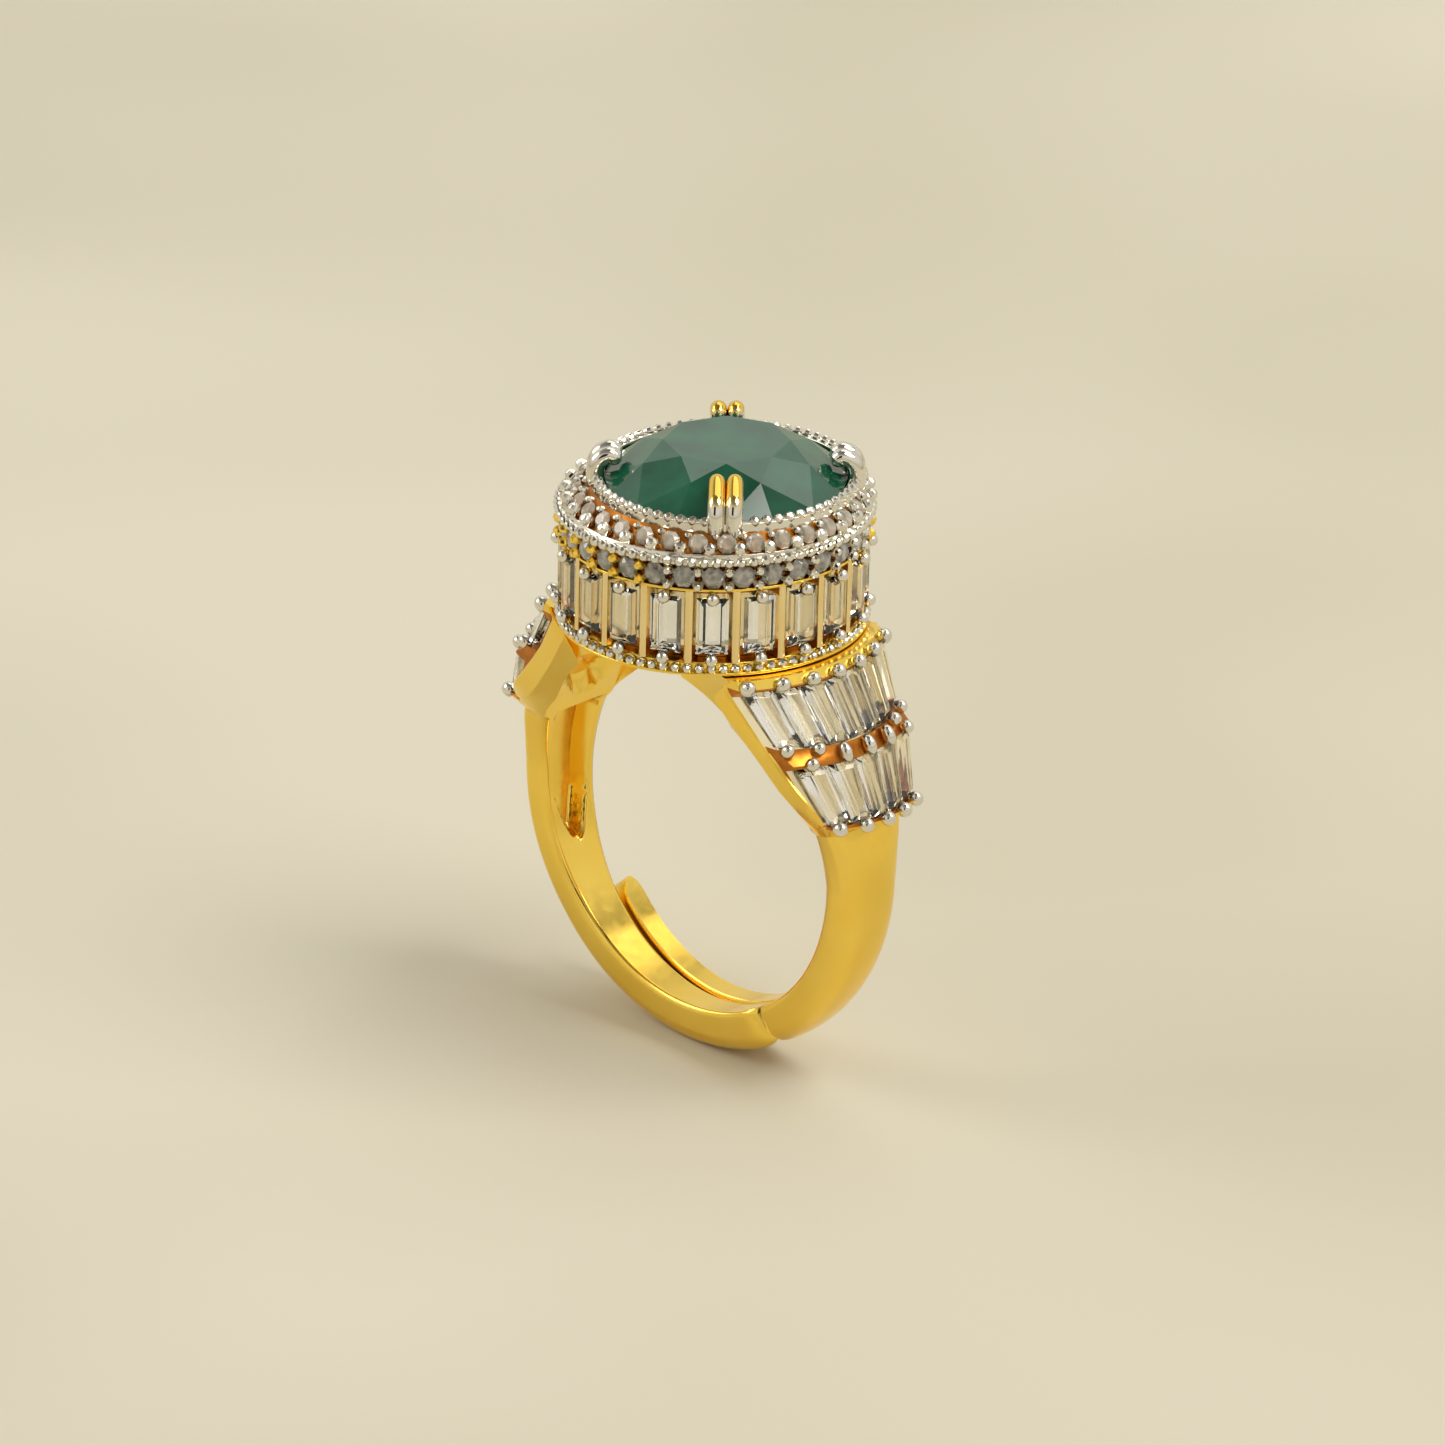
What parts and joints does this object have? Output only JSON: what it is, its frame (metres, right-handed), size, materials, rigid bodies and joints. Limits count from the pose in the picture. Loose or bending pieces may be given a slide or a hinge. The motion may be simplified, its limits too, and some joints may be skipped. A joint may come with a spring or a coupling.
{
  "type": "cocktail ring",
  "caption": "Cocktail ring with a tall round stone-set head, baguette shoulders and an adjustable open shank whose two arms pass side by side.",
  "frame": {"origin": "centre of the finger hole", "axes": "+Z from the finger hole towards the stone, +Y along the finger, +X across the shoulders"},
  "size_m": [0.0216, 0.0142, 0.0288],
  "materials": {
    "yellow_gold_plate": "polished",
    "white_rhodium_plate": "polished",
    "clear_stone": "faceted and polished",
    "green_stone": "faceted and polished"
  },
  "bodies": {
    "head": {"base_rim": "yellow_gold_plate", "gallery_frame": "yellow_gold_plate", "pave_band": "yellow_gold_plate", "halo_plate": "white_rhodium_plate", "bezel_rim": "yellow_gold_plate", "centre_stone": "green_stone", "claw_back_right": "white_rhodium_plate", "claw_back_left": "white_rhodium_plate", "claw_front_left": "white_rhodium_plate", "claw_front_right": "white_rhodium_plate", "gallery_stone_01": "clear_stone", "gallery_stone_02": "clear_stone", "gallery_stone_03": "clear_stone", "gallery_stone_04": "clear_stone", "gallery_stone_05": "clear_stone", "gallery_stone_06": "clear_stone", "gallery_stone_07": "clear_stone", "gallery_stone_08": "clear_stone", "gallery_stone_09": "clear_stone", "gallery_stone_10": "clear_stone", "gallery_stone_11": "clear_stone", "gallery_stone_12": "clear_stone", "gallery_stone_13": "clear_stone", "gallery_stone_14": "clear_stone", "gallery_stone_15": "clear_stone", "gallery_stone_16": "clear_stone", "gallery_stone_17": "clear_stone", "gallery_stone_18": "clear_stone", "gallery_stone_19": "clear_stone", "gallery_stone_20": "clear_stone", "shoulder_right": "yellow_gold_plate", "shoulder_left": "yellow_gold_plate", "right_upper_stone_1": "clear_stone", "right_upper_stone_2": "clear_stone", "right_upper_stone_3": "clear_stone", "right_upper_stone_4": "clear_stone", "right_upper_stone_5": "clear_stone", "right_upper_stone_6": "clear_stone", "right_upper_stone_7": "clear_stone", "right_lower_stone_1": "clear_stone", "right_lower_stone_2": "clear_stone", "right_lower_stone_3": "clear_stone", "right_lower_stone_4": "clear_stone", "right_lower_stone_5": "clear_stone", "left_upper_stone_1": "clear_stone", "left_upper_stone_2": "clear_stone", "left_upper_stone_3": "clear_stone", "left_upper_stone_4": "clear_stone", "left_upper_stone_5": "clear_stone", "left_upper_stone_6": "clear_stone", "left_upper_stone_7": "clear_stone", "left_lower_stone_1": "clear_stone", "left_lower_stone_2": "clear_stone", "left_lower_stone_3": "clear_stone", "left_lower_stone_4": "clear_stone", "left_lower_stone_5": "clear_stone"},
    "right_arm": {"right_arm": "yellow_gold_plate"},
    "left_arm": {"left_arm": "yellow_gold_plate"}
  },
  "joints": [
    {"name": "right_arm_flex", "type": "hinge", "parent": "head", "child": "right_arm", "pos_m": [0.0094, 0, 0.0021], "axis": [0, -1, 0], "range_deg": [0, 8]},
    {"name": "left_arm_flex", "type": "hinge", "parent": "head", "child": "left_arm", "pos_m": [-0.0094, 0, 0.0021], "axis": [0, 1, 0], "range_deg": [0, 8]}
  ]
}
